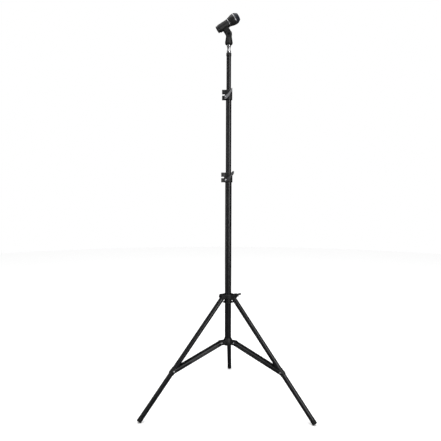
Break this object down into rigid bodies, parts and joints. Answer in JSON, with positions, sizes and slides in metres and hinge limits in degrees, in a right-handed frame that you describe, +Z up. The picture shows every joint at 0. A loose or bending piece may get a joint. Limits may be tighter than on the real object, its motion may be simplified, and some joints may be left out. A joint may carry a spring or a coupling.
{
  "type": "microphone on tripod stand",
  "caption": "Short grilled microphone held in a tilting clip on a telescopic light stand with lever locks and folding braced tripod legs",
  "frame": {"origin": "on the floor, at the centre of the object's plan; the column stands 94 mm towards -Y of it", "axes": "+Z up along the column; +Y along the rear leg, away from the viewer; +X to the viewer's right, where the microphone's face points"},
  "size_m": [0.675, 0.5871, 1.5785],
  "materials": {
    "tube": "satin black anodised, with a soft lengthwise highlight",
    "moulded_black": "fine-grained black moulding",
    "lever_plastic": "slightly lighter charcoal moulding",
    "brace_steel": "semi-gloss black powder coat",
    "foot_rubber": "matt black rubber",
    "bright_steel": "bright nickel plate",
    "brass": "plain turned brass",
    "mic_body": "satin black",
    "mic_ring": "light grey satin",
    "mic_grille": "dark woven steel mesh",
    "mic_foam": "open-cell foam"
  },
  "bodies": {
    "column": {"column_tube": "tube", "column_end_plug": "moulded_black", "lower_collar": "moulded_black", "lower_lock_body": "moulded_black", "lower_lock_sleeve": "lever_plastic", "lower_lock_bolt": "bright_steel"},
    "lower_lever": {"lower_lock_lever": "lever_plastic", "lower_lock_pin": "bright_steel"},
    "leg_collar": {"leg_collar": "moulded_black"},
    "clamp_shoe": {"clamp_shoe": "brass"},
    "leg_knob": {"leg_knob": "moulded_black", "knob_stud": "bright_steel"},
    "middle_section": {"middle_tube": "tube", "middle_tube_guide": "moulded_black", "upper_lock_body": "moulded_black", "upper_lock_sleeve": "lever_plastic", "upper_lock_bolt": "bright_steel"},
    "upper_lever": {"upper_lock_lever": "lever_plastic", "upper_lock_pin": "bright_steel"},
    "top_section": {"top_tube": "tube", "top_tube_guide": "moulded_black", "top_cap": "moulded_black", "spigot": "bright_steel"},
    "clip_base": {"clip_base": "moulded_black", "clip_insert": "brass", "tilt_bolt": "bright_steel", "tilt_nut": "bright_steel"},
    "clip_cradle": {"clip_cradle": "moulded_black"},
    "microphone": {"mic_handle": "mic_body", "mic_rear_ring": "mic_ring", "mic_head_shell": "mic_body", "mic_front_ring": "mic_ring", "mic_grille": "mic_grille", "mic_foam": "mic_foam", "mic_capsule": "bright_steel", "mic_connector": "lever_plastic"},
    "brace_rear": {"brace_rear": "brace_steel", "inner_rivet_rear": "bright_steel", "outer_rivet_rear": "bright_steel"},
    "leg_rear": {"leg_tube_rear": "tube", "leg_top_rear": "moulded_black", "leg_pin_rear": "bright_steel", "foot_cap_rear": "foot_rubber", "leg_saddle_rear": "moulded_black"},
    "brace_right": {"brace_right": "brace_steel", "inner_rivet_right": "bright_steel", "outer_rivet_right": "bright_steel"},
    "leg_right": {"leg_tube_right": "tube", "leg_top_right": "moulded_black", "leg_pin_right": "bright_steel", "foot_cap_right": "foot_rubber", "leg_saddle_right": "moulded_black"},
    "brace_left": {"brace_left": "brace_steel", "inner_rivet_left": "bright_steel", "outer_rivet_left": "bright_steel"},
    "leg_left": {"leg_tube_left": "tube", "leg_top_left": "moulded_black", "leg_pin_left": "bright_steel", "foot_cap_left": "foot_rubber", "leg_saddle_left": "moulded_black"}
  },
  "joints": [
    {"name": "leg_collar_slide", "type": "slide", "parent": "column", "child": "leg_collar", "axis": [0, 0, 1], "range_m": [0, 0.37767]},
    {"name": "brace_rear_hinge", "type": "hinge", "parent": "column", "child": "brace_rear", "pos_m": [0, -0.06, 0.2531], "axis": [1, 0, 0], "range_deg": [0, 106.03]},
    {"name": "leg_rear_hinge", "type": "hinge", "parent": "brace_rear", "child": "leg_rear", "pos_m": [0, 0.149, 0.1725], "axis": [1, 0, 0], "range_deg": [-140.31, 0]},
    {"name": "brace_right_hinge", "type": "hinge", "parent": "column", "child": "brace_right", "pos_m": [0.02944, -0.111, 0.2531], "axis": [-0.5, -0.866, 0], "range_deg": [0, 106.03]},
    {"name": "leg_right_hinge", "type": "hinge", "parent": "brace_right", "child": "leg_right", "pos_m": [0.21044, -0.2155, 0.1725], "axis": [-0.5, -0.866, 0], "range_deg": [-140.31, 0]},
    {"name": "brace_left_hinge", "type": "hinge", "parent": "column", "child": "brace_left", "pos_m": [-0.02944, -0.111, 0.2531], "axis": [-0.5, 0.866, 0], "range_deg": [0, 106.03]},
    {"name": "leg_left_hinge", "type": "hinge", "parent": "brace_left", "child": "leg_left", "pos_m": [-0.21044, -0.2155, 0.1725], "axis": [-0.5, 0.866, 0], "range_deg": [-140.31, 0]},
    {"name": "knob_turn", "type": "hinge", "parent": "clamp_shoe", "child": "leg_knob", "pos_m": [0, -0.094, 0.4425], "axis": [0.866, 0.5, 0], "range_deg": [0, 540]},
    {"name": "shoe_travel", "type": "slide", "parent": "leg_collar", "child": "clamp_shoe", "axis": [0.866, 0.5, 0], "range_m": [0, 0.0015]},
    {"name": "lower_lever_open", "type": "hinge", "parent": "column", "child": "lower_lever", "pos_m": [-0.01135, -0.10988, 0.9168], "axis": [0, 0, -1], "range_deg": [0, 100]},
    {"name": "middle_section_slide", "type": "slide", "parent": "column", "child": "middle_section", "axis": [0, 0, 1], "range_m": [-0.285, 0.2]},
    {"name": "upper_lever_open", "type": "hinge", "parent": "middle_section", "child": "upper_lever", "pos_m": [-0.01296, -0.10653, 1.2466], "axis": [0, 0, -1], "range_deg": [0, 100]},
    {"name": "top_section_slide", "type": "slide", "parent": "middle_section", "child": "top_section", "axis": [0, 0, 1], "range_m": [-0.13, 0.33]},
    {"name": "clip_swivel", "type": "hinge", "parent": "top_section", "child": "clip_base", "pos_m": [0, -0.094, 1.4548], "axis": [0, 0, 1], "range_deg": [-180, 180]},
    {"name": "clip_tilt", "type": "hinge", "parent": "clip_base", "child": "clip_cradle", "pos_m": [0, -0.094, 1.4969], "axis": [0, -1, 0], "range_deg": [-77, 33]},
    {"name": "microphone_slide", "type": "slide", "parent": "clip_cradle", "child": "microphone", "axis": [0.8443, 0, 0.5358], "range_m": [0, 0.055]}
  ],
  "couplings": [
    {"joint": "brace_rear_hinge", "follows": "leg_collar_slide", "rad_per_m": 4.8993},
    {"joint": "leg_rear_hinge", "follows": "leg_collar_slide", "rad_per_m": -6.4833},
    {"joint": "brace_right_hinge", "follows": "leg_collar_slide", "rad_per_m": 4.8993},
    {"joint": "leg_right_hinge", "follows": "leg_collar_slide", "rad_per_m": -6.4833},
    {"joint": "brace_left_hinge", "follows": "leg_collar_slide", "rad_per_m": 4.8993},
    {"joint": "leg_left_hinge", "follows": "leg_collar_slide", "rad_per_m": -6.4833},
    {"joint": "shoe_travel", "follows": "knob_turn", "m_per_rad": 0.00015915}
  ]
}
